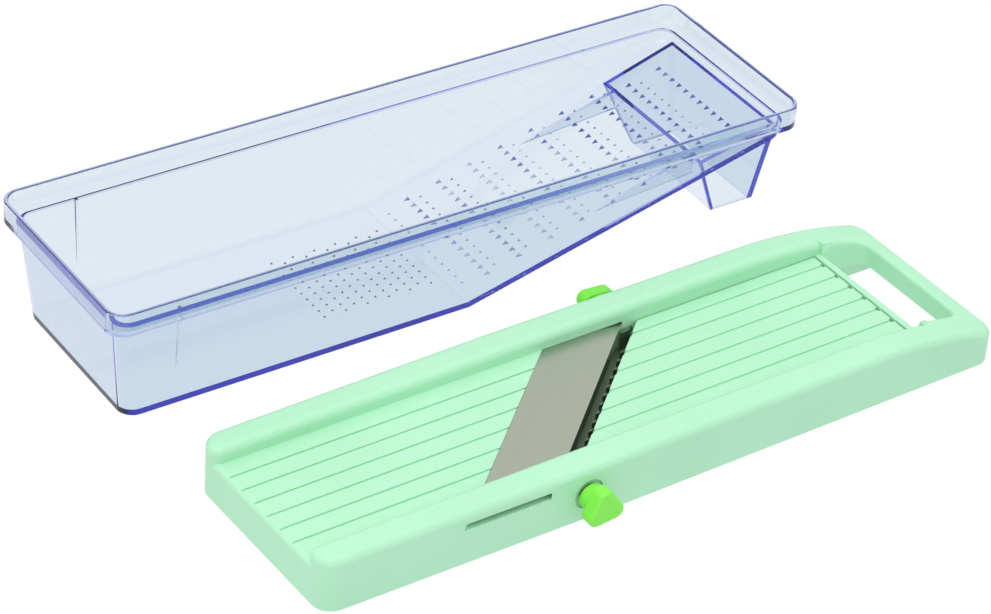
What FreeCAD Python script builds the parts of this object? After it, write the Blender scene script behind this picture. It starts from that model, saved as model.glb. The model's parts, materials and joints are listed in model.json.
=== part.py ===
"""Mandoline slicer with its catch tray, in millimetres, +Z up, both standing on z = 0.

The slicer lies along X with its handle at +X. The feed bed is on the handle side of the blade and the
outfeed bed on the other side. The tray stands behind the slicer, on the +Y side, turned by a small angle.
Lengths of the slicer are measured from the middle of its body, lengths of the tray from the middle of its rim.
"""
import FreeCAD, Part
import math
import os
import re
import Sketcher
from FreeCAD import Placement, Rotation, Vector

os.makedirs("parts", exist_ok=True)
doc = FreeCAD.newDocument("mandoline_slicer")
sheet = doc.addObject("Spreadsheet::Sheet", "Sizes")

SIZES = {
    # slicer body
    "body_length": 322.0,
    "body_width": 92.4,
    "left_end_width": 89.2,
    "handle_end_width": 90.4,
    "widest_x": -31.9,
    "body_height": 24.0,
    "corner_radius": 8.0,
    "rail_round": 3.5,
    "wall": 3.0,
    "channel_width": 64.0,
    "rail_skin": 3.5,
    # outfeed bed
    "bed_height": 17.5,
    "bed_skin": 3.0,
    "bed_end_round": 2.5,
    "rib_pitch": 36.0,
    "rib_thickness": 2.0,
    # grooves of both beds
    "groove_pitch": 8.88,
    "outfeed_groove_shift": 1.1,
    "feed_groove_shift": 3.0,
    "groove_width": 1.0,
    "groove_depth": 0.7,
    "groove_inset": 1.2,
    # handle
    "slope_length": 64.9,
    "slope_radius": 215.0,
    "handle_length": 33.6,
    "strip_width": 2.7,
    "strip_height": 16.0,
    "grip_margin": 3.5,
    "grip_corner": 5.0,
    "grip_bar": 9.7,
    "grip_bar_lift": 7.0,
    "grip_bar_round": 1.6,
    "grip_arch_spread": 2.5,
    "tail_hollow_height": 9.0,
    # blade, seat and clamp; an x value is where the slanted line crosses the centre line
    "blade_slant": 49.0,
    "blade_rear_x": -47.7,
    "blade_edge_x": -8.9,
    "blade_drop": 0.2,
    "blade_thickness": 1.4,
    "blade_bevel_width": 6.5,
    "blade_bevel_depth": 0.9,
    "blade_back_bevel": 1.2,
    "blade_near_y": -41.0,
    "blade_far_y": 34.0,
    "slot_clearance": 0.3,
    "slit_height": 3.0,
    "flat_clearance": 0.15,
    "seat_back_x": -53.9,
    "seat_front_x": -23.9,
    "seat_bottom": 9.5,
    "clamp_thickness": 1.5,
    "clamp_margin": 1.5,
    "clamp_end_clearance": 3.0,
    "clamp_screw_x": -37.9,
    "clamp_screw_y": 16.0,
    "clamp_screw_diameter": 4.0,
    "clamp_insert_diameter": 6.4,
    "clamp_head_diameter": 7.0,
    "clamp_head_height": 2.2,
    # feed bed
    "feed_edge_x": -0.9,
    "feed_bed_height": 15.6,
    "feed_bed_skin": 2.6,
    "feed_side_clearance": 0.35,
    "feed_end_clearance": 0.7,
    "feed_rib_height": 2.1,
    "feed_rib_spacing": 40.0,
    "feed_lip_width": 3.0,
    "pivot_inset": 6.3,
    "pivot_height": 12.9,
    "pivot_diameter": 4.8,
    "pivot_clearance": 0.1,
    "pivot_depth": 3.0,
    # thickness screw under the feed bed
    "screw_x": 44.1,
    "screw_diameter": 6.0,
    "screw_insert_diameter": 9.0,
    "running_clearance": 0.05,
    "bridge_width": 16.0,
    "bridge_bottom": 7.5,
    "bridge_top": 10.3,
    "depth_knob_diameter": 30.0,
    "depth_knob_bottom": 2.9,
    "depth_knob_height": 4.0,
    "depth_knob_hollow": 3.0,
    "pad_diameter": 9.0,
    "pad_recess": 1.0,
    "pad_stand": 0.3,
    "seat_gap": 0.3,
    # comb and its side screws
    "comb_x": -3.5,
    "comb_thickness": 1.2,
    "comb_flange": 4.6,
    "comb_base": 4.0,
    "comb_root": 6.5,
    "comb_tip": 9.5,
    "comb_tab_top": 14.0,
    "comb_end_clearance": 0.4,
    "comb_tab": 2.0,
    "comb_tab_reach": 4.6,
    "comb_pitch": 4.0,
    "comb_tooth": 0.9,
    "knob_height": 11.5,
    "near_knob_offset": -3.65,
    "far_knob_offset": -1.25,
    "stud_diameter": 5.0,
    "insert_diameter": 8.0,
    "insert_inner_y": 41.0,
    "boss_half_width": 7.5,
    "knob_hub_diameter": 11.0,
    "knob_hub_start": 46.8,
    "knob_head_start": 52.0,
    "knob_head_end": 58.0,
    "knob_lobe_radius": 3.7,
    "knob_lobe_offset": 4.9,
    "knob_round": 1.4,
    "knob_recess_diameter": 13.0,
    "knob_recess_depth": 1.2,
    "near_knob_angle": 6.0,
    "far_knob_angle": 5.0,
    "notch_length": 1.2,
    "notch_width": 2.4,
    "rail_nose_radius": 4.0,
    # tray
    "tray_offset_x": -8.5,
    "tray_offset_y": 131.3,
    "tray_turn": 1.3,
    "tray_length": 327.2,
    "tray_width": 97.0,
    "tray_height": 54.8,
    "tray_rim_height": 10.0,
    "tray_rim_radius": 8.0,
    "tray_wall": 1.8,
    "tray_ledge": 4.6,
    "tray_floor": 2.2,
    "tray_foot_length": 311.4,
    "tray_foot_width": 82.0,
    "tray_foot_shift": 1.1,
    "tray_base_radius": 7.0,
    "ramp_start": 4.6,
    "ramp_angle": 14.7,
    "leg_top_left": 121.0,
    "leg_bottom_left": 134.9,
    "leg_top_width": 71.0,
    "leg_bottom_width": 59.2,
    "leg_wall": 2.0,
    "gusset_start": 70.0,
    "gusset_spacing": 56.0,
    "gusset_depth": 9.0,
    "gusset_thickness": 1.6,
    "stop_x": -132.5,
    "stop_size": 1.2,
    "stop_low": 15.0,
    # grater teeth on the ramp and the floor
    "tooth_row_start": 18.7,
    "tooth_row_pitch": 15.4,
    "tooth_pitch": 5.06,
    "tooth_width": 2.4,
    "tooth_length": 2.6,
    "tooth_height": 1.5,
    "dot_offset": 5.1,
    "dot_size": 1.3,
    "dot_height": 0.9,
    "fine_start": -53.0,
    "fine_row_pitch": 5.1,
    "fine_pitch": 4.6,
    "fine_size": 1.1,
    "fine_height": 0.7,
}
COARSE_ROWS = 9
COARSE_TEETH = 13
COARSE_TEETH_OVER_LEG = 11
ROWS_OVER_LEG = 2
FINE_ROWS = 11
FINE_DOTS = 10
GROOVES = 6
KNOB_LOBES = 3
GRIP_SCALLOPS = 12

for row, (alias, number) in enumerate(SIZES.items(), start=1):
    sheet.set(f"A{row}", alias)
    sheet.set(f"B{row}", str(number))
    sheet.setAlias(f"B{row}", alias)
doc.recompute()


# expressions and sketches

def bound(text):
    """The expression with each size name turned into a reference to its cell."""
    return re.sub(r"[a-z_]+", lambda word: "Sizes." + word.group() if word.group() in SIZES else word.group(), text)


def value(text):
    """The present value of an expression."""
    return float(sheet.evalExpression(bound(text)))


def on_slant(x_name, y_text):
    """The x of a slanted line, which crosses the centre line at x_name, at the width y_text."""
    return f"({x_name}) + tan(blade_slant) * ({y_text})"


def new_body(name):
    body = doc.addObject("PartDesign::Body", name)
    body.Label = name
    return body


def new_sketch(body, plane, height):
    """An empty sketch on an origin plane of the body, raised along the plane's normal."""
    sketch = body.newObject("Sketcher::SketchObject", body.Name + "_sketch")
    support = [feature for feature in body.Origin.OriginFeatures if feature.Role == plane + "_Plane"][0]
    sketch.AttachmentSupport = [(support, "")]
    sketch.MapMode = "FlatFace"
    sketch.setExpression("AttachmentOffset.Base.z", bound(height))
    return sketch


def pin_point(sketch, geometry, end, x_text, y_text):
    """Fix a point of the sketch to two expressions."""
    for kind, text in (("DistanceX", x_text), ("DistanceY", y_text)):
        index = sketch.addConstraint(Sketcher.Constraint(kind, -1, 1, geometry, end, value(text)))
        sketch.setExpression(f"Constraints[{index}]", bound(text))


def outline(body, plane, loops, height="0"):
    """A sketch of closed polygons, whose corners are pairs of expressions."""
    sketch = new_sketch(body, plane, height)
    for corners in loops:
        first = sketch.GeometryCount
        points = [Vector(value(x), value(y), 0) for x, y in corners]
        for index, point in enumerate(points):
            sketch.addGeometry(Part.LineSegment(point, points[(index + 1) % len(points)]))
        for index, (x_text, y_text) in enumerate(corners):
            follower = first + (index + 1) % len(corners)
            sketch.addConstraint(Sketcher.Constraint("Coincident", first + index, 2, follower, 1))
            pin_point(sketch, first + index, 1, x_text, y_text)
    return sketch


def circles(body, plane, rings, height="0"):
    """A sketch of circles, each given by the expressions of its centre and its radius."""
    sketch = new_sketch(body, plane, height)
    for index, (x_text, y_text, radius) in enumerate(rings):
        sketch.addGeometry(Part.Circle(Vector(value(x_text), value(y_text), 0), Vector(0, 0, 1), value(radius)))
        pin_point(sketch, index, 3, x_text, y_text)
        size = sketch.addConstraint(Sketcher.Constraint("Radius", index, value(radius)))
        sketch.setExpression(f"Constraints[{size}]", bound(radius))
    return sketch


def box_loop(x_low, x_high, y_low, y_high):
    return [(x_low, y_low), (x_high, y_low), (x_high, y_high), (x_low, y_high)]


def slant_loop(x_low, x_high, y_low, y_high):
    """A parallelogram between two slanted lines, from one width to another."""
    return [(on_slant(x_low, y_low), y_low), (on_slant(x_high, y_low), y_low),
            (on_slant(x_high, y_high), y_high), (on_slant(x_low, y_high), y_high)]


def feature(kind, body, sketch, length, both_ways=False, backwards=False):
    made = body.newObject("PartDesign::" + kind, body.Name + "_" + kind.lower())
    made.Profile = sketch
    made.Type = "Length"
    made.setExpression("Length", bound(length))
    made.SideType = "Symmetric" if both_ways else "One side"
    made.Reversed = backwards
    return made


def pad(body, sketch, length, **options):
    return feature("Pad", body, sketch, length, **options)


def pocket(body, sketch, length, **options):
    """A cut, which always has to take something away."""
    doc.recompute()
    before = body.Shape.Volume
    made = feature("Pocket", body, sketch, length, **options)
    doc.recompute()
    if made.Shape.isNull() or made.Shape.Volume > before - 1e-3:
        raise RuntimeError(f"{made.Name}: {made.getStatusString()} or nothing removed")
    return made


def round_edges(body, radius, wanted):
    """Fillet the edges of the body's last feature that the test accepts."""
    doc.recompute()
    tip = body.Tip
    names = [f"Edge{number}" for number, edge in enumerate(tip.Shape.Edges, start=1) if wanted(edge)]
    if not names:
        raise RuntimeError(body.Name + ": no edge to round")
    made = body.newObject("PartDesign::Fillet", body.Name + "_fillet")
    made.Base = (tip, names)
    made.setExpression("Radius", bound(radius))
    doc.recompute()
    if made.Shape.isNull() or "Invalid" in made.State:
        raise RuntimeError(f"{made.Name}: {made.getStatusString()}")
    return made


def middle(edge):
    return edge.valueAt((edge.FirstParameter + edge.LastParameter) / 2)


def is_vertical(edge):
    return edge.BoundBox.XLength < 0.01 and edge.BoundBox.YLength < 0.01


def turned(name, corners):
    """A body turned about Z from (radius, height) corners."""
    body = new_body(name)
    sketch = outline(body, "XZ", [corners])
    spin = body.newObject("PartDesign::Revolution", name + "_revolution")
    spin.Profile = sketch
    spin.ReferenceAxis = (sketch, ["V_Axis"])
    spin.Angle = 360
    return body


def ring(name, inner, outer, low, high):
    return turned(name, [(inner, low), (outer, low), (outer, high), (inner, high)])


# where the slicer and the tray stand, so that the whole is centred on the origin

TRAY_REACH_X = ("((tray_length / 2 - tray_rim_radius) * cos(tray_turn)"
                " + (tray_width / 2 - tray_rim_radius) * sin(tray_turn) + tray_rim_radius)")
TRAY_REACH_Y = ("((tray_width / 2 - tray_rim_radius) * cos(tray_turn)"
                " + (tray_length / 2 - tray_rim_radius) * sin(tray_turn) + tray_rim_radius)")
SLICER_X = (f"-(max(body_length / 2; tray_offset_x + {TRAY_REACH_X})"
            f" + min(-body_length / 2; tray_offset_x - {TRAY_REACH_X})) / 2")
SLICER_Y = f"-(tray_offset_y + {TRAY_REACH_Y} - knob_head_end) / 2"
NEAR_SIDE = Rotation(Vector(1, 0, 0), 90)
FAR_SIDE = Rotation(Vector(1, 0, 0), -90)


def stand(node, x="0", y="0", z="0", rotation=Rotation()):
    """Place a slicer piece at a point of the slicer's own frame."""
    node.Placement = Placement(Vector(), rotation)
    node.setExpression("Placement.Base.x", bound(f"({SLICER_X}) + ({x})"))
    node.setExpression("Placement.Base.y", bound(f"({SLICER_Y}) + ({y})"))
    node.setExpression("Placement.Base.z", bound(z))
    return node


def group(name, members):
    """Identical loose pieces that share one node."""
    compound = doc.addObject("Part::Compound", name)
    compound.Label = name
    compound.Links = members
    return compound


# heights that several pieces share

HALF_CHANNEL = "channel_width / 2"
COMB_END = f"({HALF_CHANNEL} - comb_end_clearance)"
NEAR_KNOB_X = f"({on_slant('comb_x', '-' + COMB_END)} + near_knob_offset)"
FAR_KNOB_X = f"({on_slant('comb_x', COMB_END)} + far_knob_offset)"
BLADE_TOP = "bed_height - blade_drop"
BLADE_BOTTOM = f"{BLADE_TOP} - blade_thickness"
CLAMP_TOP = f"{BLADE_BOTTOM} - flat_clearance"
CLAMP_BOTTOM = f"{CLAMP_TOP} - clamp_thickness"
SEAT_TOP = f"{CLAMP_BOTTOM} - flat_clearance"
FEED_BOTTOM = "feed_bed_height - feed_bed_skin"
SLOPE_START = "(body_length / 2 - slope_length)"
STRIP_START = "(body_length / 2 - handle_length)"
STRIP_END = f"({STRIP_START} + strip_width)"
PIVOT_X = f"({STRIP_START} - pivot_inset)"
HALF_GRIP = "(channel_width / 2 - grip_margin)"
GRIP_END = "body_length / 2 - grip_bar"
OVERCUT = "1"


def groove_centre(number, shift):
    return f"({number} - {GROOVES - 1} / 2) * groove_pitch + {shift}"


def groove_loops(start, end, shift):
    loops = []
    for number in range(GROOVES):
        centre = groove_centre(number, shift)
        loops.append(box_loop(start, end, f"{centre} - groove_width / 2", f"{centre} + groove_width / 2"))
    return loops


def notch_loops(start, end, shift, slanted=False):
    """A short wide notch at the end of each groove."""
    loops = []
    for number in range(GROOVES):
        centre = groove_centre(number, shift)
        low, high = f"{centre} - notch_width / 2", f"{centre} + notch_width / 2"
        loops.append((slant_loop if slanted else box_loop)(start, end, low, high))
    return loops


def make_body_frame():
    """The one-piece frame: two rails, outfeed bed, blade seat, screw bridge and handle."""
    body = new_body("body_frame")
    left, right = "-body_length / 2", "body_length / 2"
    plan = [(left, "-left_end_width / 2"), ("widest_x", "-body_width / 2"), (right, "-handle_end_width / 2"),
            (right, "handle_end_width / 2"), ("widest_x", "body_width / 2"), (left, "left_end_width / 2")]
    pad(body, outline(body, "XY", [plan]), "body_height")
    widest = value("widest_x")
    round_edges(body, "corner_radius", lambda edge: is_vertical(edge) and abs(middle(edge).x - widest) > 1)
    cut_handle_slope(body)
    open_channel(body)
    start, strip = value(SLOPE_START), value(STRIP_END)
    mid_height = value("body_height") / 2
    bed = value("bed_height")
    round_edges(body, "rail_round", lambda edge: not is_vertical(edge) and middle(edge).z > mid_height
                and abs(middle(edge).z - bed) > 0.01 and abs(middle(edge).x - start) > 0.5
                and abs(middle(edge).x - strip) > 0.01)
    cut_channel(body)
    cut_handle(body)
    add_bridge(body)
    cut_side_bores(body)
    hollow_underside(body)
    pocket(body, outline(body, "XY", groove_loops("-body_length / 2 + groove_inset", "0", "outfeed_groove_shift"),
                         "bed_height"),
           "groove_depth")
    return stand(body)


def cut_handle_slope(body):
    """The top falls to the handle along a large arc, tangent to the rails."""
    sketch = new_sketch(body, "XZ", "0")
    radius, start, top = value("slope_radius"), value(SLOPE_START), value("body_height")
    end_x = value("body_length / 2 + 1")
    sweep = math.asin((end_x - start) / radius)
    centre = Vector(start, top - radius, 0)
    arc_end = centre + Vector(radius * math.sin(sweep), radius * math.cos(sweep), 0)
    corners = [arc_end, Vector(end_x, top + 1, 0), Vector(start, top + 1, 0), Vector(start, top, 0)]
    circle = Part.Circle(centre, Vector(0, 0, 1), radius)
    sketch.addGeometry(Part.ArcOfCircle(circle, math.pi / 2 - sweep, math.pi / 2))
    for first, second in zip(corners, corners[1:]):
        sketch.addGeometry(Part.LineSegment(first, second))
    for pair in ((0, 1, 1, 1), (1, 2, 2, 1), (2, 2, 3, 1), (3, 2, 0, 2)):
        sketch.addConstraint(Sketcher.Constraint("Coincident", *pair))
    pin_point(sketch, 0, 3, SLOPE_START, "body_height - slope_radius")
    pin_point(sketch, 3, 2, SLOPE_START, "body_height")
    pin_point(sketch, 2, 1, "body_length / 2 + 1", "body_height + 1")
    sketch.addConstraint(Sketcher.Constraint("Vertical", 1))
    sketch.addConstraint(Sketcher.Constraint("Vertical", 3))
    sketch.addConstraint(Sketcher.Constraint("Horizontal", 2))
    pocket(body, sketch, "body_width * 2", both_ways=True)


def open_channel(body):
    """The channel between the rails, whose left ends are rounded off."""
    low, high = f"-{HALF_CHANNEL}", HALF_CHANNEL
    pocket(body, outline(body, "XY", [box_loop(f"-body_length / 2 - {OVERCUT}", STRIP_END, low, high)],
                         "body_height"), "body_height - bed_height")
    left, half = value("-body_length / 2"), value(HALF_CHANNEL)
    round_edges(body, "rail_nose_radius", lambda edge: is_vertical(edge) and abs(middle(edge).x - left) < 0.01
                and abs(abs(middle(edge).y) - half) < 0.01)


def cut_channel(body):
    """The rounded end of the outfeed bed, the blade's recess and the open window of the feed bed."""
    low, high = f"-{HALF_CHANNEL}", HALF_CHANNEL
    left, bed = value("-body_length / 2"), value("bed_height")
    round_edges(body, "bed_end_round", lambda edge: abs(middle(edge).x - left) < 0.01
                and abs(middle(edge).z - bed) < 0.01)
    pocket(body, outline(body, "XY", [slant_loop("blade_rear_x", f"seat_front_x + {OVERCUT}", low, high)],
                         "bed_height"), f"bed_height - ({SEAT_TOP})")
    window = [(on_slant("seat_front_x", low), low), (STRIP_START, low), (STRIP_START, high),
              (on_slant("seat_front_x", high), high)]
    pocket(body, outline(body, "XY", [window], f"body_height + {OVERCUT}"), f"body_height + 2 * {OVERCUT}")
    pocket(body, outline(body, "XY", [box_loop(STRIP_START, STRIP_END, low, high)], "bed_height"),
           "bed_height - strip_height")
    far_end = "blade_far_y + slot_clearance"
    ends = slant_loop("blade_rear_x - slot_clearance", "blade_edge_x + slot_clearance", low, far_end)
    pocket(body, outline(body, "XY", [ends], f"{BLADE_TOP} + flat_clearance"),
           "blade_thickness + 2 * flat_clearance")
    slit = slant_loop("blade_rear_x - slot_clearance", "blade_edge_x + slot_clearance",
                      f"-body_width / 2 - {OVERCUT}", low)
    pocket(body, outline(body, "XY", [slit], f"{BLADE_BOTTOM} - flat_clearance + slit_height"), "slit_height")


def cut_handle(body):
    """The grip opening with drafted ends, and the lifted bar at the end."""
    rim, foot = HALF_CHANNEL, HALF_GRIP
    mouth = [(f"-{rim}", "body_height + 1"), (rim, "body_height + 1"), (rim, "body_height"),
             (foot, "grip_bar_lift"), (foot, f"-{OVERCUT}"), (f"-{foot}", f"-{OVERCUT}"),
             (f"-{foot}", "grip_bar_lift"), (f"-{rim}", "body_height")]
    pocket(body, outline(body, "YZ", [mouth], STRIP_END), f"({GRIP_END}) - {STRIP_END}", backwards=True)
    half, far_x = value(foot), value(GRIP_END)
    round_edges(body, "grip_corner", lambda edge: edge.BoundBox.XLength < 0.01 and edge.BoundBox.ZLength > 4
                and abs(middle(edge).x - far_x) < 0.01 and abs(middle(edge).y) > half - 0.01)
    spread = f"{HALF_GRIP} + grip_arch_spread"
    arch = [(f"-({spread})", f"-{OVERCUT}"), (f"-{HALF_GRIP}", "grip_bar_lift"),
            (HALF_GRIP, "grip_bar_lift"), (spread, f"-{OVERCUT}")]
    start = f"{STRIP_END} + wall"
    pocket(body, outline(body, "YZ", [arch], start), f"body_length / 2 - ({start}) + {OVERCUT}", backwards=True)
    lift, end_x = value("grip_bar_lift"), value("body_length / 2")
    round_edges(body, "grip_bar_round", lambda edge: abs(middle(edge).z - lift) < 0.01
                and abs(middle(edge).y) < 1 and abs(middle(edge).x - end_x) < 0.01)


def add_bridge(body):
    """The cross member that carries the thickness screw."""
    low, high = f"-{HALF_CHANNEL} - 0.5", f"{HALF_CHANNEL} + 0.5"
    bridge = [box_loop("screw_x - bridge_width / 2", "screw_x + bridge_width / 2", low, high)]
    pad(body, outline(body, "XY", bridge, "bridge_bottom"), "bridge_top - bridge_bottom")
    pocket(body, circles(body, "XY", [("screw_x", "0", "screw_insert_diameter / 2")], f"bridge_top + {OVERCUT}"),
           f"bridge_top - bridge_bottom + 2 * {OVERCUT}")


def cut_side_bores(body):
    """The bores of the two side screws, their inserts, the clamp inserts and the pivot sockets."""
    inner = f"{HALF_CHANNEL} - {OVERCUT}"
    reach = f"body_width / 2 - ({inner}) + 2 * {OVERCUT}"
    seat = f"body_width / 2 - insert_inner_y + 2 * {OVERCUT}"
    rail_side = "body_width / 2"
    for knob_x, sign, backwards in ((NEAR_KNOB_X, "", True), (FAR_KNOB_X, "-", False)):
        hole = [(knob_x, "knob_height", "stud_diameter / 2 + running_clearance")]
        pocket(body, circles(body, "XZ", hole, f"{sign}({inner})"), reach, backwards=backwards)
        hole = [(knob_x, "knob_height", "insert_diameter / 2")]
        pocket(body, circles(body, "XZ", hole, f"{sign}insert_inner_y"), seat, backwards=backwards)
        hole = [(knob_x, "knob_height", "knob_recess_diameter / 2")]
        pocket(body, circles(body, "XZ", hole, f"{sign}({rail_side} - knob_recess_depth)"),
               f"knob_recess_depth + 2 * {OVERCUT}", backwards=backwards)
    pivot = [(PIVOT_X, "pivot_height", "pivot_diameter / 2 + pivot_clearance")]
    pocket(body, circles(body, "XZ", pivot), "channel_width + 2 * pivot_depth", both_ways=True)
    holes = [(on_slant("clamp_screw_x", f"{side} * clamp_screw_y"), f"{side} * clamp_screw_y",
              "clamp_insert_diameter / 2") for side in ("-1", "1")]
    pocket(body, circles(body, "XY", holes, f"({SEAT_TOP}) + {OVERCUT}"), f"({SEAT_TOP}) + 2 * {OVERCUT}")


def hollow_underside(body):
    """Everything under the skins is open from below, apart from ribs, seat and screw bosses."""
    low, high = f"-{HALF_CHANNEL}", HALF_CHANNEL
    start = "-body_length / 2 + wall"
    under_seat = [(start, low), (on_slant("seat_front_x + 1", low), low), (on_slant("seat_front_x + 1", high), high),
                  (start, high)]
    pocket(body, outline(body, "XY", [under_seat]), "seat_bottom", backwards=True)
    bays = []
    for number in range(2):
        bay = f"{start} + {number} * rib_pitch"
        bays.append(box_loop(bay, f"{bay} + rib_pitch - rib_thickness", low, high))
    last = f"{start} + 2 * rib_pitch"
    bays.append([(last, low), (on_slant("seat_back_x", low), low), (on_slant("seat_back_x", high), high),
                 (last, high)])
    pocket(body, outline(body, "XY", bays[:2]), "bed_height - bed_skin", backwards=True)
    cut_last_bay(body, last, low, high)
    cut_rail_hollows(body, start)


def cut_last_bay(body, last, low, high):
    """The bay beside the slanted seat."""
    corner_y = f"(({last}) - seat_back_x) / tan(blade_slant)"
    bay = [(last, corner_y), (on_slant("seat_back_x", high), high), (last, high)]
    pocket(body, outline(body, "XY", [bay]), "bed_height - bed_skin", backwards=True)


def cut_rail_hollows(body, start):
    inner, outer = f"{HALF_CHANNEL} + wall", "left_end_width / 2 - wall"
    top_end = f"{SLOPE_START} + 4"
    tail_end = "body_length / 2 - corner_radius - wall"
    for knob_x, sign in ((NEAR_KNOB_X, "-"), (FAR_KNOB_X, "")):
        sides = [f"{sign}({inner})", f"{sign}({outer})"]
        tall = [box_loop(f"{start} + corner_radius / 2", f"{knob_x} - boss_half_width", *sides),
                box_loop(f"{knob_x} + boss_half_width", top_end, *sides)]
        pocket(body, outline(body, "XY", tall), "body_height - rail_skin", backwards=True)
        tail = [box_loop(f"{top_end} + wall", tail_end, *sides)]
        pocket(body, outline(body, "XY", tail), "tail_hollow_height", backwards=True)


def make_feed_bed():
    """The bed on the handle side, which swings on two stub pins to set the slice thickness."""
    body = new_body("feed_bed")
    side = f"{HALF_CHANNEL} - feed_side_clearance"
    low, high = f"-({side})", side
    end = f"{STRIP_START} - feed_end_clearance"
    plan = [(on_slant("feed_edge_x", low), low), (end, low), (end, high), (on_slant("feed_edge_x", high), high)]
    pad(body, outline(body, "XY", [plan], FEED_BOTTOM), "feed_bed_skin")
    rib_start = "screw_x + bridge_width / 2 + 6"
    ribs = [box_loop(rib_start, PIVOT_X, f"{centre} - rib_thickness / 2", f"{centre} + rib_thickness / 2")
            for centre in ("-feed_rib_spacing / 2", "feed_rib_spacing / 2")]
    lip_side = f"({side} - 4)"
    ribs.append(slant_loop("feed_edge_x", "feed_edge_x + feed_lip_width", f"-{lip_side}", lip_side))
    pad(body, outline(body, "XY", ribs, FEED_BOTTOM), "feed_rib_height", backwards=True)
    pin = [(PIVOT_X, "pivot_height", "pivot_diameter / 2")]
    pad(body, circles(body, "XZ", pin), "channel_width + 2 * pivot_depth - 2 * seat_gap", both_ways=True)
    recess = [("screw_x", "0", "pad_diameter / 2")]
    pocket(body, circles(body, "XY", recess, FEED_BOTTOM), "pad_recess", backwards=True)
    grooves = groove_loops("0 - body_length / 2", f"{end} + {OVERCUT}", "feed_groove_shift")
    pocket(body, outline(body, "XY", grooves, "feed_bed_height"), "groove_depth")
    notches = notch_loops(f"{end} - notch_length", f"{end} + {OVERCUT}", "feed_groove_shift")
    notches += notch_loops(f"feed_edge_x - {OVERCUT}", "feed_edge_x + notch_length / 2", "feed_groove_shift", True)
    pocket(body, outline(body, "XY", notches, "feed_bed_height"), "notch_length")
    return stand(body)


def make_main_blade():
    """The slanted blade, bevelled above and below along its cutting edge, which faces the feed bed."""
    body = new_body("main_blade")
    rear, edge = on_slant("blade_rear_x", "blade_near_y"), on_slant("blade_edge_x", "blade_near_y")
    tip_height = f"{BLADE_TOP} - blade_bevel_depth"
    profile = [(rear, BLADE_BOTTOM), (f"{edge} - blade_back_bevel / cos(blade_slant)", BLADE_BOTTOM),
               (edge, tip_height), (f"{edge} - blade_bevel_width / cos(blade_slant)", BLADE_TOP), (rear, BLADE_TOP)]
    sheared = pad(body, outline(body, "XZ", [profile], "-blade_near_y"), "blade_far_y - blade_near_y")
    sheared.UseCustomVector = True
    sheared.Direction = Vector(value("tan(blade_slant)"), 1, 0)
    sheared.setExpression("Direction.x", bound("tan(blade_slant)"))
    sheared.AlongSketchNormal = True
    return stand(body)


def make_blade_clamp():
    """The plate under the blade that the two clamp screws press upward."""
    body = new_body("blade_clamp_plate")
    half = f"({HALF_CHANNEL} - clamp_end_clearance)"
    plan = slant_loop("blade_rear_x + clamp_margin", "seat_front_x - clamp_margin", f"-{half}", half)
    pad(body, outline(body, "XY", [plan], CLAMP_BOTTOM), "clamp_thickness")
    return stand(body)


def make_clamp_screws():
    """Two inserts in the seat and the two screws that turn in them."""
    inserts, screws = [], []
    seat_bottom, seat_top = "seat_bottom", SEAT_TOP
    for label, side in (("near", "-1"), ("far", "1")):
        x = on_slant("clamp_screw_x", f"{side} * clamp_screw_y")
        y = f"{side} * clamp_screw_y"
        radius = "clamp_screw_diameter / 2"
        insert = ring(f"clamp_insert_{label}", radius, "clamp_insert_diameter / 2", seat_bottom, seat_top)
        inserts.append(stand(insert, x, y))
        head = "clamp_head_diameter / 2"
        profile = [("0", "seat_bottom - clamp_head_height"), (head, "seat_bottom - clamp_head_height"),
                   (head, "seat_bottom"), (radius, "seat_bottom"), (radius, CLAMP_BOTTOM), ("0", CLAMP_BOTTOM)]
        screw = turned(f"clamp_screw_{label}", profile)
        slot = [box_loop("-clamp_head_diameter", "clamp_head_diameter", "-0.5", "0.5")]
        pocket(screw, outline(screw, "XY", slot, "seat_bottom - clamp_head_height"), "clamp_head_height / 2",
               backwards=True)
        screws.append(stand(screw, x, y))
    return [group("clamp_inserts", inserts), group("clamp_screws", screws)]


def make_comb():
    """The julienne comb: an angle strip along the throat with teeth on its upright leg, here lowered."""
    body = new_body("julienne_comb")
    end = COMB_END
    back = "comb_x - comb_thickness / cos(blade_slant)"
    flange = slant_loop("comb_x - comb_flange / cos(blade_slant)", "comb_x", f"-{end}", end)
    pad(body, outline(body, "XY", [flange], "comb_base"), "comb_thickness")
    upright = slant_loop(back, "comb_x", f"-{end}", end)
    pad(body, outline(body, "XY", [upright], "comb_base"), "comb_root - comb_base")
    teeth = []
    count = int(value(f"({COMB_END} - comb_tab) / comb_pitch"))
    for number in range(-count + 1, count):
        centre = f"{number} * comb_pitch"
        teeth.append(slant_loop(back, "comb_x", f"{centre} - comb_tooth / 2", f"{centre} + comb_tooth / 2"))
    pad(body, outline(body, "XY", teeth, "comb_root"), "comb_tip - comb_root")
    tab = "comb_x - comb_tab_reach"
    tabs = [slant_loop(tab, "comb_x", f"-{end}", f"-{end} + comb_tab"),
            slant_loop(tab, "comb_x", f"{end} - comb_tab", end)]
    pad(body, outline(body, "XY", tabs, "comb_base"), "comb_tab_top - comb_base")
    return stand(body)


def head_corners(angle):
    """Corners of the knob's triangular head, where its straight sides meet the rounded lobes."""
    corners = []
    for lobe in range(KNOB_LOBES):
        turn = f"{90 + 360 * lobe / KNOB_LOBES} + {angle}"
        for side in ("- 60", "+ 60"):
            corners.append((f"knob_lobe_offset * cos({turn}) + knob_lobe_radius * cos({turn} {side})",
                            f"knob_lobe_offset * sin({turn}) + knob_lobe_radius * sin({turn} {side})"))
    return corners


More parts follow.
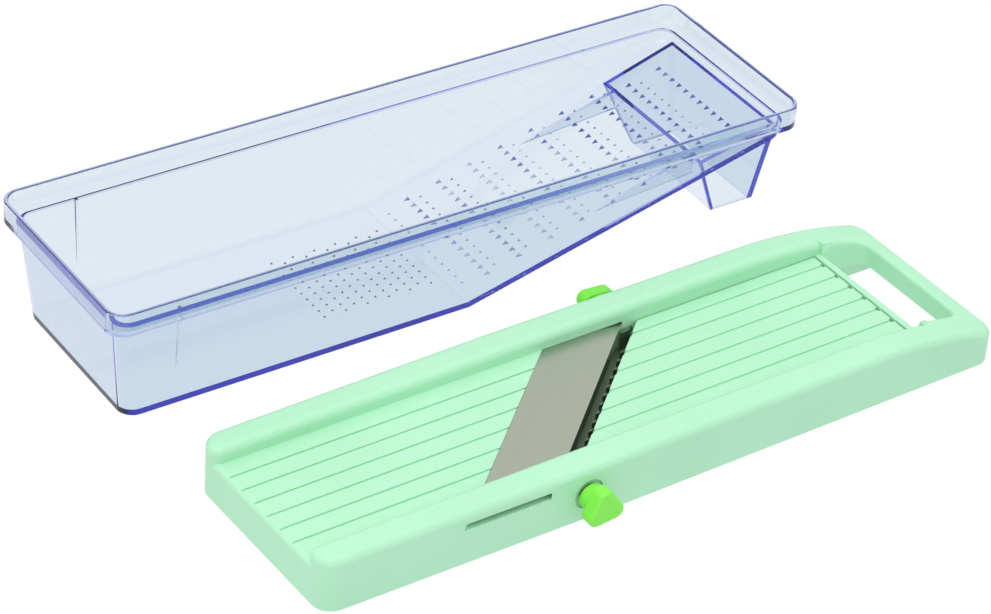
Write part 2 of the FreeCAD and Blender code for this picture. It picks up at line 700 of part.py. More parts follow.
def make_side_screw(label, knob_x, rotation):
    """One side screw: insert in the rail, steel stud and knob with a rounded triangular head."""
    tip = f"{COMB_END} + seat_gap"
    radius = "stud_diameter / 2"
    bore = f"{radius} + running_clearance"
    insert = ring(f"{label}_insert", bore, "insert_diameter / 2", "insert_inner_y",
                  "body_width / 2 - knob_recess_depth - seat_gap")
    stud = turned(f"{label}_stud", [("0", tip), (f"{radius} - 0.6", tip), (radius, f"{tip} + 0.6"),
                                    (radius, "knob_head_end - 2"), ("0", "knob_head_end - 2")])
    knob = new_body(f"{label}_knob")
    pad(knob, circles(knob, "XY", [("0", "0", "knob_hub_diameter / 2")], "knob_hub_start"),
        "knob_head_start - knob_hub_start")
    angle = f"{label}_knob_angle"
    pad(knob, outline(knob, "XY", [head_corners(angle)], "knob_head_start"), "knob_head_end - knob_head_start")
    top = [(f"-knob_lobe_offset * sin({angle})", f"knob_lobe_offset * cos({angle})", "knob_lobe_radius")]
    lobe = pad(knob, circles(knob, "XY", top, "knob_head_start"),
               "knob_head_end - knob_head_start")
    turns = knob.newObject("PartDesign::PolarPattern", f"{label}_lobes")
    turns.Originals = [lobe]
    turns.Axis = (lobe.Profile[0], ["N_Axis"])
    turns.Angle = 360
    turns.Occurrences = KNOB_LOBES
    knob.Tip = turns
    front = value("knob_head_end")
    round_edges(knob, "knob_round", lambda edge: abs(middle(edge).z - front) < 0.01)
    pocket(knob, circles(knob, "XY", [("0", "0", bore)], f"knob_hub_start - {OVERCUT}"),
           f"knob_head_end - 1.7 - knob_hub_start + {OVERCUT}", backwards=True)
    for piece in (insert, stud, knob):
        stand(piece, knob_x, "0", "knob_height", rotation)
    return [insert, stud, knob]


def make_depth_screw():
    """Thickness adjuster: insert in the bridge, screw, scalloped knob and the pad it pushes."""
    radius = "screw_diameter / 2"
    bore = f"{radius} + running_clearance"
    knob_top = "depth_knob_bottom + depth_knob_height"
    insert = ring("depth_insert", bore, "screw_insert_diameter / 2", "bridge_bottom", "bridge_top")
    pad_bottom = f"{FEED_BOTTOM} - pad_stand"
    tip = f"{pad_bottom} - seat_gap"
    screw = turned("depth_screw", [("0", "depth_knob_bottom"), (radius, "depth_knob_bottom"), (radius, tip),
                                   ("0", tip)])
    knob = ring("depth_knob", bore, "depth_knob_diameter / 2", "depth_knob_bottom", knob_top)
    scallop = pocket(knob, circles(knob, "XY", [("depth_knob_diameter / 2 + 1.6", "0", "3")],
                                   f"{knob_top} + {OVERCUT}"), f"depth_knob_height + 2 * {OVERCUT}")
    turns = knob.newObject("PartDesign::PolarPattern", "depth_knob_scallops")
    turns.Originals = [scallop]
    turns.Axis = (scallop.Profile[0], ["N_Axis"])
    turns.Angle = 360
    turns.Occurrences = GRIP_SCALLOPS
    knob.Tip = turns
    bearing = turned("bed_pad", [("0", pad_bottom), ("pad_diameter / 2", pad_bottom),
                                 ("pad_diameter / 2", f"{FEED_BOTTOM} + pad_recess"),
                                 ("0", f"{FEED_BOTTOM} + pad_recess")])
    return [stand(piece, "screw_x") for piece in (insert, screw, knob, bearing)]


# tray

TRAY_X = f"({SLICER_X}) + tray_offset_x"
TRAY_Y = f"({SLICER_Y}) + tray_offset_y"


def rounded_face(length, width, radius, height, shift=0.0):
    """A flat rounded rectangle, centred on the tray's middle apart from a shift along X."""
    flat = Part.makeBox(length, width, 1, Vector(shift - length / 2, -width / 2, height))
    corners = [edge for edge in flat.Edges if is_vertical(edge)]
    flat = flat.makeFillet(radius, corners)
    bottom = min(flat.Faces, key=lambda face: face.CenterOfMass.z)
    return bottom.OuterWire


def tapered(low_wire, high_wire):
    return Part.makeLoft([low_wire, high_wire], True, True)


def tray_prism(points, half_width):
    """A prism across the tray with the given (x, z) corners."""
    corners = [Vector(x, -half_width, z) for x, z in points]
    return Part.Face(Part.makePolygon(corners + corners[:1])).extrude(Vector(0, 2 * half_width, 0))


def ramp_height(x):
    """Height of the ramp's underside."""
    return (x - value("ramp_start")) * math.tan(math.radians(value("ramp_angle")))


def ramp_skin():
    """Height of the ramp's skin, measured along Z."""
    return value("tray_floor") / math.cos(math.radians(value("ramp_angle")))


def tray_bucket():
    """The tapered box below the rim, hollow down to its floor and its ramp."""
    length, width = value("tray_length"), value("tray_width")
    rim_bottom, ledge, wall = value("tray_height - tray_rim_height"), value("tray_ledge"), value("tray_wall")
    foot_length, foot_width = value("tray_foot_length"), value("tray_foot_width")
    shift, radius = value("tray_foot_shift"), value("tray_base_radius")
    outer = tapered(rounded_face(foot_length, foot_width, radius, 0, shift),
                    rounded_face(length - 2 * ledge, width - 2 * ledge, radius, rim_bottom))
    inner = tapered(rounded_face(foot_length - 2 * wall, foot_width - 2 * wall, radius - wall, 0, shift),
                    rounded_face(length - 2 * ledge - 2 * wall, width - 2 * ledge - 2 * wall, radius - wall,
                                 rim_bottom + wall))
    start, floor, reach = value("ramp_start"), value("tray_floor"), value("tray_length / 2") + 10
    skin = ramp_skin()
    bend = start - (skin - floor) / math.tan(math.radians(value("ramp_angle")))
    below_floor = tray_prism([(-reach, -1), (-reach, floor), (bend, floor), (reach, ramp_height(reach) + skin),
                              (reach, -1)], width)
    below_ramp = tray_prism([(start, -1), (start, 0), (reach, ramp_height(reach)), (reach, -1)], width)
    return outer.cut(below_ramp), inner.cut(below_floor)


def tray_rim():
    """The upright rim that takes the slicer, with its ledge, and the hole inside it."""
    length, width, radius = value("tray_length"), value("tray_width"), value("tray_rim_radius")
    top, rim, wall = value("tray_height"), value("tray_rim_height"), value("tray_wall")
    outer = Part.Face(rounded_face(length, width, radius, top - rim)).extrude(Vector(0, 0, rim))
    crest = max(edge.BoundBox.ZMax for edge in outer.Edges)
    outer = outer.makeFillet(wall / 3, [edge for edge in outer.Edges if edge.BoundBox.ZMin > crest - 0.01])
    hole = Part.Face(rounded_face(length - 2 * wall, width - 2 * wall, radius - wall, top - rim + wall))
    return outer, hole.extrude(Vector(0, 0, rim))


def tray_leg():
    """The hollow leg, open below, that carries the ramp, and the two gussets beside it."""
    wall, top_left, foot_left = value("leg_wall"), value("leg_top_left"), value("leg_bottom_left")
    foot_end = value("tray_foot_shift + tray_foot_length / 2")
    top_end = value("tray_length / 2 - tray_ledge")
    top_width, foot_width = value("leg_top_width"), value("leg_bottom_width")
    meet = ramp_height(top_left)
    crown = value("tray_height - tray_rim_height")
    grow = crown / meet

    def section(left, right, width, height, inset):
        box = [Vector(x, y, height) for x, y in ((left + inset, inset - width / 2), (right - inset, inset - width / 2),
                                                 (right - inset, width / 2 - inset), (left + inset, width / 2 - inset))]
        return Part.makePolygon(box + box[:1])

    crown_left = foot_left + (top_left - foot_left) * grow
    crown_width = foot_width + (top_width - foot_width) * grow
    solids = [tapered(section(foot_left, foot_end, foot_width, 0, inset),
                      section(crown_left, top_end, crown_width, crown, inset)) for inset in (0, wall)]
    reach = value("tray_length / 2") + 10
    under_skin = [(x, ramp_height(x) + rise) for x, rise in ((reach, 0.5), (0, 0.5))]
    keep = tray_prism([(0, -1), (reach, -1)] + under_skin, value("tray_width"))
    leg = solids[0].cut(solids[1]).common(keep)
    gusset_start, depth = value("gusset_start"), value("gusset_depth")
    gusset_end = top_left + wall
    plate = [(gusset_start, ramp_height(gusset_start) + 0.5), (gusset_end, ramp_height(gusset_end) + 0.5),
             (gusset_end, ramp_height(gusset_end) - depth)]
    thickness = value("gusset_thickness")
    gussets = []
    for side in (-1, 1):
        gusset = tray_prism(plate, thickness / 2)
        gusset.translate(Vector(0, side * value("gusset_spacing") / 2, 0))
        gussets.append(gusset)
    return leg, gussets


def tray_stops():
    """Two slim upright ribs inside the long walls."""
    size, low = value("stop_size"), value("stop_low")
    top = value("tray_height - tray_rim_height + tray_wall")
    inner_low = value("tray_foot_width / 2 - tray_wall")
    inner_top = value("tray_width / 2 - tray_ledge - tray_wall")
    stops = []
    for side in (-1, 1):
        points = [(inner_low + (inner_top - inner_low) * low / top, low), (inner_top + 0.5, top),
                  (inner_top - size, top)]
        corners = [Vector(value("stop_x"), side * y, z) for y, z in points]
        stops.append(Part.Face(Part.makePolygon(corners + corners[:1])).extrude(Vector(size, 0, 0)))
    return stops


def make_tray_shell():
    """The clear tray, one moulding."""
    bucket, bucket_hole = tray_bucket()
    rim, rim_hole = tray_rim()
    leg, gussets = tray_leg()
    shape = bucket.fuse(rim).cut(rim_hole).cut(bucket_hole)
    shape = shape.fuse([leg] + gussets + tray_stops()).removeSplitter()
    return place_tray("tray_shell", shape)


def place_tray(name, shape):
    node = doc.addObject("Part::Feature", name)
    node.Label = name
    node.Shape = shape.Solids[0] if len(shape.Solids) == 1 else Part.makeCompound(shape.Solids)
    turn = Rotation(Vector(0, 0, 1), -value("tray_turn"))
    node.Placement = Placement(Vector(value(TRAY_X), value(TRAY_Y), 0), turn)
    return node


def spike(x, y, length, width, height, lean):
    """A small raised tooth standing on the floor or the ramp: a pyramid whose tip leans uphill."""
    angle = math.radians(lean)
    base = value("tray_floor") if lean == 0 else ramp_height(x) + ramp_skin()
    corners = [Vector(-length / 2, 0, 0), Vector(length / 2, -width / 2, 0), Vector(length / 2, width / 2, 0)]
    tip = Vector(length * 0.35, 0, height)
    faces = [Part.Face(Part.makePolygon([corners[0], corners[2], corners[1], corners[0]]))]
    for index in range(3):
        first, second = corners[index], corners[(index + 1) % 3]
        faces.append(Part.Face(Part.makePolygon([first, second, tip, first])))
    solid = Part.Solid(Part.Shell(faces))
    solid.rotate(Vector(), Vector(0, 1, 0), -math.degrees(angle))
    solid.translate(Vector(x, y, base))
    return solid


def make_coarse_teeth():
    """Rows of large teeth on the ramp, each with a row of small ones just above it."""
    lean, pitch = value("ramp_angle"), value("tooth_pitch")
    large = (value("tooth_length"), value("tooth_width"), value("tooth_height"))
    small = (value("dot_size"), value("dot_size"), value("dot_height"))
    solids = []
    for row in range(-1, COARSE_ROWS):
        x = value("tooth_row_start") + row * value("tooth_row_pitch")
        over_leg = row >= COARSE_ROWS - ROWS_OVER_LEG
        count = COARSE_TEETH_OVER_LEG if over_leg else COARSE_TEETH
        if row >= 0:
            solids += [spike(x, (place - (count - 1) / 2) * pitch, *large, lean) for place in range(count)]
        if row < COARSE_ROWS - 1:
            dots_x = x + value("dot_offset")
            solids += [spike(dots_x, (place - (count - 2) / 2) * pitch, *small, lean) for place in range(count - 1)]
    return place_tray("coarse_grater_teeth", Part.makeCompound(solids))


def make_fine_teeth():
    """The patch of fine teeth on the flat floor, in staggered rows."""
    size = (value("fine_size"), value("fine_size"), value("fine_height"))
    pitch = value("fine_pitch")
    solids = []
    for row in range(FINE_ROWS):
        x = value("fine_start") + row * value("fine_row_pitch")
        count = FINE_DOTS - row % 2
        solids += [spike(x, (place - (count - 1) / 2) * pitch, *size, 0) for place in range(count)]
    return place_tray("fine_grater_teeth", Part.makeCompound(solids))


def make_slicer():
    nodes = [make_body_frame(), make_feed_bed(), make_main_blade(), make_blade_clamp()]
    nodes += make_clamp_screws()
    nodes.append(make_comb())
    nodes += make_side_screw("near", NEAR_KNOB_X, NEAR_SIDE)
    nodes += make_side_screw("far", FAR_KNOB_X, FAR_SIDE)
    nodes += make_depth_screw()
    return nodes


def make_tray():
    return [make_tray_shell(), make_coarse_teeth(), make_fine_teeth()]


nodes = make_slicer() + make_tray()
doc.recompute()
for item in doc.Objects:
    if any(state in ("Invalid", "Error") for state in item.State):
        raise RuntimeError(item.Name + ": " + ", ".join(item.State))
for node in nodes:
    if node.Shape.isNull() or not node.Shape.isValid() or not node.Shape.Solids:
        raise RuntimeError(node.Label + ": no valid solid")
for node in nodes:
    node.Shape.exportStep("parts/" + node.Label + ".step")
    box = node.Shape.BoundBox
    print(f"{node.Label:22s} solids {len(node.Shape.Solids):3d}  volume {node.Shape.Volume:10.1f}  "
          f"x {box.XMin:.2f}..{box.XMax:.2f}  y {box.YMin:.2f}..{box.YMax:.2f}  z {box.ZMin:.2f}..{box.ZMax:.2f}")
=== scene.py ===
"""Looks of the mandoline slicer and its catch tray, in metres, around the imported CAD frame."""
import json
import math

import bmesh
import bpy
from mathutils import Matrix, Vector

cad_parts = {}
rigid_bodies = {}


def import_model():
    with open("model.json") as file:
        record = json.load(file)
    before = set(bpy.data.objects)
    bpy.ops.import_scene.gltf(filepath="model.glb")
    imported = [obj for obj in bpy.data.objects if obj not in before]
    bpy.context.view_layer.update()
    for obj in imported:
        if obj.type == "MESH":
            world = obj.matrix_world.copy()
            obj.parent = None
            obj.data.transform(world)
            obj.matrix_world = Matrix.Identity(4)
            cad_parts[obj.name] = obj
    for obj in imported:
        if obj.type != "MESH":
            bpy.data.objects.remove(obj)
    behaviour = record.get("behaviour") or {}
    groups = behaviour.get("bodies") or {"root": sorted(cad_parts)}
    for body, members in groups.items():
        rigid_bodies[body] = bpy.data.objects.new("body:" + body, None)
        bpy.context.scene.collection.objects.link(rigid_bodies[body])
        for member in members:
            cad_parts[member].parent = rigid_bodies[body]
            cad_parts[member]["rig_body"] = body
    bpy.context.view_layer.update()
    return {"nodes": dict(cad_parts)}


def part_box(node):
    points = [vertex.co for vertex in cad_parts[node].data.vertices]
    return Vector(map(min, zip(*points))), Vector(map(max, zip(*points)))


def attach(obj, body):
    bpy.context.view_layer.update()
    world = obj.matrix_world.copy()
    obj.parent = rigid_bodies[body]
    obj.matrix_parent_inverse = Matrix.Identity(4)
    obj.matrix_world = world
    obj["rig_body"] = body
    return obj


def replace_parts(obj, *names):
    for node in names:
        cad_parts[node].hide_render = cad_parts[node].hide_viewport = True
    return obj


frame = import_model()
scene = bpy.context.scene
MM = 0.001
WHITE = (1, 1, 1, 1)
MIX_FIRST, MIX_SECOND, MIX_RESULT = 6, 7, 2  # the colour sockets of a Mix node

# The photograph's view, from a point on the table under the middle of the slicer's body.
body_low, body_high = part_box("body_frame")
SLICER = Vector(((body_low.x + body_high.x) / 2, (body_low.y + body_high.y) / 2, 0))
VIEW_TARGET = Vector((4.5, 84.9, 0)) * MM
VIEW_AZIMUTH = math.radians(-37.17)
VIEW_ELEVATION = math.radians(35.19)
VIEW_ROLL = math.radians(4.51)
VIEW_DISTANCE, LENS, SENSOR_WIDTH = 1.4982, 133.25, 36.0
NEAR_CLIP, FAR_CLIP = 0.05, 50

# A soft white box of light with one wide lamp. The floor lies a little below the table's level.
FLOOR_SIZE, FLOOR_LEVEL = 6.0, -0.4 * MM
HORIZON_LIGHT, ZENITH_LIGHT, FLOOR_BOUNCE = 0.78, 1.1, 0.82
KEY_STRENGTH, KEY_ANGLE, KEY_DIRECTION = 0.9, 40, (0.42, 0.25, -1)

# The painted shade on the floor, a dark patch that stands for the shade under the body, stays inside the
# body's outline and ends short of the hand hole.
GRIP_ROOM, SHADE_INSET = 36 * MM, 4 * MM
SHADE_LOW = Vector((body_low.x + SHADE_INSET, body_low.y + SHADE_INSET))
SHADE_HIGH = Vector((body_high.x - GRIP_ROOM, body_high.y - SHADE_INSET))
# The colour of the painted shade under the body.
SHADE_COLOUR = (0.02, 0.035, 0.022, 1)


# scene

def add_camera():
    data = bpy.data.cameras.new("camera")
    data.lens, data.sensor_width, data.sensor_fit = LENS, SENSOR_WIDTH, "HORIZONTAL"
    data.clip_start, data.clip_end = NEAR_CLIP, FAR_CLIP
    camera = bpy.data.objects.new("camera", data)
    scene.collection.objects.link(camera)
    level_right = Vector((math.cos(VIEW_AZIMUTH), math.sin(VIEW_AZIMUTH), 0))
    back = Vector((math.sin(VIEW_AZIMUTH) * math.cos(VIEW_ELEVATION),
                   -math.cos(VIEW_AZIMUTH) * math.cos(VIEW_ELEVATION), math.sin(VIEW_ELEVATION)))
    level_up = back.cross(level_right)
    right = level_right * math.cos(VIEW_ROLL) + level_up * math.sin(VIEW_ROLL)
    up = level_up * math.cos(VIEW_ROLL) - level_right * math.sin(VIEW_ROLL)
    place = Matrix.Identity(4)
    for row in range(3):
        place[row][0], place[row][1], place[row][2] = right[row], up[row], back[row]
    place.translation = SLICER + VIEW_TARGET + back * VIEW_DISTANCE
    camera.matrix_world = place
    scene.camera = camera


def add_sun(name, strength, angle, direction):
    data = bpy.data.lights.new(name, "SUN")
    data.energy, data.angle = strength, math.radians(angle)
    lamp = bpy.data.objects.new(name, data)
    lamp.rotation_euler = Vector(direction).to_track_quat("-Z", "Y").to_euler()
    scene.collection.objects.link(lamp)


def floor_material():
    """An evenly glowing white sheet with a painted shade, dark right under the slicer's body, where a real
    floor is in shade.
    """
    material = bpy.data.materials.new("floor_white")
    material.use_nodes = True
    tree = material.node_tree
    tree.nodes.clear()

    def maths(operation, first, second):
        made = tree.nodes.new("ShaderNodeMath")
        made.operation = operation
        for socket, operand in enumerate((first, second)):
            if isinstance(operand, bpy.types.NodeSocket):
                tree.links.new(operand, made.inputs[socket])
            else:
                made.inputs[socket].default_value = operand
        return made.outputs[0]

    split = tree.nodes.new("ShaderNodeSeparateXYZ")
    tree.links.new(tree.nodes.new("ShaderNodeTexCoord").outputs["Object"], split.inputs[0])
    # The mask of the painted shade: the rectangle under the body.
    painted_shade_mask = 1.0
    for axis in (0, 1):
        low, high = SHADE_LOW[axis], SHADE_HIGH[axis]
        middle, half = (low + high) / 2, (high - low) / 2
        away = maths("ABSOLUTE", maths("SUBTRACT", split.outputs[axis], middle), 0.0)
        painted_shade_mask = maths("MULTIPLY", maths("LESS_THAN", away, half), painted_shade_mask)
    colour = tree.nodes.new("ShaderNodeMix")
    colour.data_type = "RGBA"
    tree.links.new(painted_shade_mask, colour.inputs["Factor"])
    colour.inputs[MIX_FIRST].default_value = WHITE
    colour.inputs[MIX_SECOND].default_value = SHADE_COLOUR
    glow = tree.nodes.new("ShaderNodeEmission")
    tree.links.new(colour.outputs[MIX_RESULT], glow.inputs["Color"])
    diffuse = tree.nodes.new("ShaderNodeLightPath").outputs["Is Diffuse Ray"]
    weaker = maths("MULTIPLY", diffuse, FLOOR_BOUNCE - 1)
    tree.links.new(maths("ADD", weaker, 1.0), glow.inputs["Strength"])
    out = tree.nodes.new("ShaderNodeOutputMaterial")
    tree.links.new(glow.outputs[0], out.inputs["Surface"])
    return material


def add_surroundings():
    world = bpy.data.worlds.new("soft_box")
    scene.world = world
    world.use_nodes = True
    tree = world.node_tree
    split = tree.nodes.new("ShaderNodeSeparateXYZ")
    tree.links.new(tree.nodes.new("ShaderNodeTexCoord").outputs["Generated"], split.inputs[0])
    height = tree.nodes.new("ShaderNodeMapRange")
    for key, number in (("To Min", HORIZON_LIGHT), ("To Max", ZENITH_LIGHT)):
        height.inputs[key].default_value = number
    tree.links.new(split.outputs["Z"], height.inputs["Value"])
    sky = tree.nodes["Background"]
    sky.inputs["Color"].default_value = WHITE
    tree.links.new(height.outputs["Result"], sky.inputs["Strength"])
    add_sun("key", KEY_STRENGTH, KEY_ANGLE, KEY_DIRECTION)
    mesh = bpy.data.meshes.new("floor")
    corners = ((-1, -1), (1, -1), (1, 1), (-1, 1))
    mesh.from_pydata([(x * FLOOR_SIZE, y * FLOOR_SIZE, FLOOR_LEVEL) for x, y in corners], [], [(0, 1, 2, 3)])
    floor = bpy.data.objects.new("floor", mesh)
    scene.collection.objects.link(floor)
    floor.data.materials.append(floor_material())


# materials

def srgb(red, green, blue):
    """Linear colour of an 8-bit display colour."""
    def linear(part):
        part /= 255
        return part / 12.92 if part <= 0.04045 else ((part + 0.055) / 1.055) ** 2.4
    return (linear(red), linear(green), linear(blue), 1)


PLASTIC_IOR = 1.49
CLOUD_SCALE, WAVE_SCALE, CLEAR_WAVE_SCALE = 18.0, 45.0, 30.0
CLOUD_EDGES, STREAK_EDGES = (0.35, 0.65), (0.3, 0.7)
STREAK_SHADES, BAND_SHADE = (0.93, 1.02), 0.92
WAVE_DEPTH, GRAIN_DEPTH, SCRATCH_DEPTH = 0.6 * MM, 0.04 * MM, 0.02 * MM
SCATTER_RADIUS, SCATTER_DEPTH = (0.6, 1.0, 0.7), 1.2 * MM
STREAKS, BANDS = (30, 2600, 400), (1.5, 130, 10)  # per metre along, across and through the grinding


class Shader:
    """A node material with short helpers."""

    def __init__(self, name):
        self.material = bpy.data.materials.new(name)
        self.material.use_nodes = True
        self.tree = self.material.node_tree
        self.surface = self.tree.nodes["Principled BSDF"]
        self.output = self.tree.nodes["Material Output"]
        self.place = self.tree.nodes.new("ShaderNodeTexCoord").outputs["Object"]

    def node(self, kind, **settings):
        made = self.tree.nodes.new("ShaderNode" + kind)
        for key, setting in settings.items():
            setattr(made, key, setting)
        return made

    def link(self, source, target):
        self.tree.links.new(source, target)

    def values(self, node=None, **numbers):
        """Sets a node's own sockets, or the surface's where no node is given."""
        for key, number in numbers.items():
            (node or self.surface).inputs[key.replace("_", " ")].default_value = number

    def along(self, turn, scale):
        """Coordinates turned about Z, then scaled, so that a pattern runs along the direction of turn."""
        mapping = self.node("Mapping", vector_type="TEXTURE")
        mapping.inputs["Scale"].default_value = [1 / part for part in scale]
        mapping.inputs["Rotation"].default_value = (0, 0, turn)
        self.link(self.place, mapping.inputs["Vector"])
        return mapping.outputs["Vector"]

    def noise(self, scale, detail=3.0, roughness=0.55, vector=None):
        made = self.node("TexNoise")
        self.values(made, Scale=scale, Detail=detail, Roughness=roughness)
        self.link(vector or self.place, made.inputs["Vector"])
        return made.outputs["Fac"]

    def ramp(self, factor, low, high, start=0.0, end=1.0):
        made = self.node("MapRange")
        self.values(made, From_Min=start, From_Max=end, To_Min=low, To_Max=high)
        self.link(factor, made.inputs["Value"])
        return made.outputs["Result"]

    def mixed(self, factor, first, second):
        made = self.node("Mix", data_type="RGBA")
        self.link(factor, made.inputs["Factor"])
        for socket, colour in ((MIX_FIRST, first), (MIX_SECOND, second)):
            if isinstance(colour, bpy.types.NodeSocket):
                self.link(colour, made.inputs[socket])
            else:
                made.inputs[socket].default_value = colour
        return made.outputs[MIX_RESULT]

    def bump(self, height, strength, distance, before=None):
        made = self.node("Bump")
        self.values(made, Strength=strength, Distance=distance)
        self.link(height, made.inputs["Height"])
        if before:
            self.link(before, made.inputs["Normal"])
        return made.outputs["Normal"]


def moulded(name, colour, darker, roughness, grain=2200.0, soft=0.15):
    """Moulded plastic: a fine spark-eroded grain, faint flow clouds and a slightly uneven sheen."""
    shader = Shader(name)
    clouds = shader.noise(CLOUD_SCALE, detail=2.0)
    shader.link(shader.mixed(shader.ramp(clouds, 0.0, 1.0, *CLOUD_EDGES), colour, darker),
                shader.surface.inputs["Base Color"])
    fine = shader.noise(grain, detail=2.0)
    shader.link(shader.ramp(fine, roughness - 0.05, roughness + 0.07), shader.surface.inputs["Roughness"])
    waves = shader.bump(shader.noise(WAVE_SCALE, detail=1.0), strength=0.06, distance=WAVE_DEPTH)
    shader.link(shader.bump(fine, strength=0.12, distance=GRAIN_DEPTH, before=waves),
                shader.surface.inputs["Normal"])
    shader.values(IOR=PLASTIC_IOR, Subsurface_Weight=soft, Subsurface_Radius=SCATTER_RADIUS,
                  Subsurface_Scale=SCATTER_DEPTH)
    return shader.material


def shaded(colour, factor):
    return tuple(part * factor for part in colour[:3]) + (1,)


def ground_steel(name, colour, roughness, turn):
    """Steel or brass ground along one direction: fine streaks, and broad bands that catch less light."""
    shader = Shader(name)
    streaks = shader.noise(1.0, detail=4.0, roughness=0.6, vector=shader.along(turn, STREAKS))
    bands = shader.noise(1.0, detail=2.0, roughness=0.4, vector=shader.along(turn, BANDS))
    fine = shader.mixed(shader.ramp(streaks, 0.0, 1.0, *STREAK_EDGES),
                        *[shaded(colour, factor) for factor in STREAK_SHADES])
    broad = shader.mixed(shader.ramp(bands, 0.0, 0.5, *STREAK_EDGES), fine, shaded(colour, BAND_SHADE))
    shader.link(broad, shader.surface.inputs["Base Color"])
    shader.link(shader.ramp(streaks, roughness - 0.06, roughness + 0.1), shader.surface.inputs["Roughness"])
    scratches = shader.bump(streaks, strength=0.15, distance=SCRATCH_DEPTH)
    shader.link(scratches, shader.surface.inputs["Normal"])
    shader.values(Metallic=1.0)
    return shader.material


def clear_plastic(name, density, tint, skin):
    """Clear tinted plastic: the tint is in its depth, so long paths along the walls come out deep."""
    shader = Shader(name)
    shader.values(Roughness=0.02, IOR=PLASTIC_IOR, Base_Color=skin, Transmission_Weight=1.0)
    waves = shader.bump(shader.noise(CLEAR_WAVE_SCALE, detail=1.0), strength=0.05, distance=WAVE_DEPTH)
    shader.link(waves, shader.surface.inputs["Normal"])
    depth = shader.node("VolumeAbsorption")
    shader.values(depth, Color=tint, Density=density)
    shader.link(depth.outputs[0], shader.output.inputs["Volume"])
    return shader.material


# pieces

SAME_POINT = 0.001 * MM
SAME_PLANE, CREASE_ANGLE, SHARP_ANGLE = math.radians(0.5), math.radians(12), math.radians(30)
RIM_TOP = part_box("tray_shell")[1].z - 0.5 * MM
GRIP_START, GRIP_LEVEL, GRIP_HALF_WIDTH = body_high.x - 27 * MM, 16.4 * MM, 34 * MM


def at_grip(place):
    """On the upper edge of the hand hole."""
    return place.x > GRIP_START and place.z > GRIP_LEVEL and abs(place.y - SLICER.y) < GRIP_HALF_WIDTH


def at_rim(place):
    """On the upper edge of the tray."""
    return place.z > RIM_TOP


# How far each node's sharp edges are rounded, in how many steps, and at which of its corners.
EDGE_BREAKS = {
    "body_frame": (2.0 * MM, 5, at_grip),
    "tray_shell": (0.8 * MM, 5, at_rim),
    "near_knob": (0.3 * MM, 2, None),
    "far_knob": (0.3 * MM, 2, None),
    "depth_knob": (0.3 * MM, 2, None),
    "blade_clamp_plate": (0.15 * MM, 2, None),
    "feed_bed": (0.1 * MM, 2, None),
    "julienne_comb": (0.1 * MM, 2, None),
    "main_blade": (0.06 * MM, 2, None),
}


def softened(node, width, steps, chosen):
    """A piece that stands for a CAD node, with its sharp edges, or only those at chosen corners, rounded."""
    work = bmesh.new()
    work.from_mesh(frame["nodes"][node].data)
    bmesh.ops.remove_doubles(work, verts=work.verts, dist=SAME_POINT)
    if chosen is None:
        bmesh.ops.dissolve_limit(work, angle_limit=SAME_PLANE, verts=work.verts, edges=work.edges,
                                 delimit={"NORMAL"})
        sharp = [edge for edge in work.edges if edge.calc_face_angle(0) > SHARP_ANGLE]
    else:
        nearby = [face for face in work.faces if any(chosen(corner.co) for corner in face.verts)]
        bmesh.ops.join_triangles(work, faces=nearby, angle_face_threshold=SAME_PLANE,
                                 angle_shape_threshold=math.pi)
        sharp = [edge for edge in work.edges if edge.calc_face_angle(0) > SHARP_ANGLE
                 and all(chosen(corner.co) for corner in edge.verts)]
    for edge in set(work.edges).difference(sharp):
        edge.smooth = edge.calc_face_angle(0) < CREASE_ANGLE
    bmesh.ops.bevel(work, geom=sharp, offset=width, offset_type="OFFSET", segments=steps, profile=0.5,
                    affect="EDGES", clamp_overlap=False)
    for face in work.faces:
        face.smooth = True
    mesh = bpy.data.meshes.new(node + "_shape")
    work.to_mesh(mesh)
    work.free()
    piece = bpy.data.objects.new(node + "_shape", mesh)
    scene.collection.objects.link(piece)
    piece.modifiers.new("flat_faces_stay_flat", "WEIGHTED_NORMAL").keep_sharp = True
    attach(piece, frame["nodes"][node]["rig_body"])
    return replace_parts(piece, node)


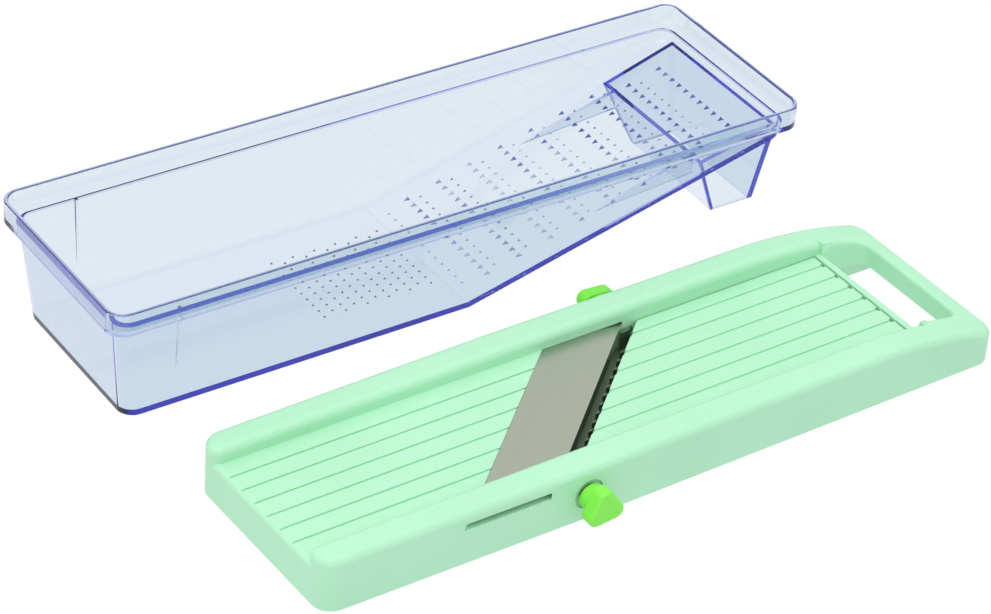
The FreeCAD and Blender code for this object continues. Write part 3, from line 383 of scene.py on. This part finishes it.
def paint(material, slot, *nodes):
    """Gives nodes their finish. A node in EDGE_BREAKS is first remade with rounded edges."""
    for node in nodes:
        piece = softened(node, *EDGE_BREAKS[node]) if node in EDGE_BREAKS else frame["nodes"][node]
        piece.data.materials.clear()
        piece.data.materials.append(material)


# the finishes and the nodes that they go on

BLADE_TURN = math.radians(41)  # the direction of the blade's edge
LIGHT_BOUNCES, SEE_THROUGH_BOUNCES = 80, 16
add_camera()
add_surroundings()
mint = moulded("mint_plastic", srgb(175, 230, 194), srgb(171, 227, 190), roughness=0.42)
lime = moulded("lime_plastic", srgb(128, 232, 72), srgb(118, 226, 62), roughness=0.3, grain=900.0, soft=0.1)
blade_steel = ground_steel("blade_steel", srgb(178, 185, 169), roughness=0.34, turn=BLADE_TURN)
# The comb's steel is painted darker and greener than the blade's: painted shade of the throat, where the
# comb sits below the blade's edge, tinted green as a painted reflection of the mint body.
comb_steel = ground_steel("comb_steel", srgb(142, 156, 134), roughness=0.48, turn=BLADE_TURN)
fitting_steel = ground_steel("fitting_steel", srgb(180, 182, 184), roughness=0.3, turn=0)
brass = ground_steel("brass", srgb(205, 170, 95), roughness=0.3, turn=0)
clear_blue = clear_plastic("clear_blue_plastic", density=58.0, tint=(0.24, 0.30, 0.86, 1),
                           skin=(0.83, 0.905, 0.91, 1))
paint(mint, "mint_plastic", "body_frame", "feed_bed")
paint(lime, "lime_plastic", "near_knob", "far_knob", "depth_knob")
paint(blade_steel, "blade_steel", "main_blade")
paint(comb_steel, "blade_steel", "julienne_comb")
paint(fitting_steel, "fitting_steel", "blade_clamp_plate", "clamp_screws", "near_stud", "far_stud",
      "depth_screw", "bed_pad")
paint(brass, "brass", "clamp_inserts", "near_insert", "far_insert", "depth_insert")
paint(clear_blue, "clear_blue_plastic", "tray_shell", "coarse_grater_teeth", "fine_grater_teeth")

scene.view_settings.view_transform = "Standard"
scene.cycles.max_bounces = LIGHT_BOUNCES
scene.cycles.transmission_bounces = LIGHT_BOUNCES
scene.cycles.glossy_bounces = LIGHT_BOUNCES
scene.cycles.transparent_max_bounces = SEE_THROUGH_BOUNCES
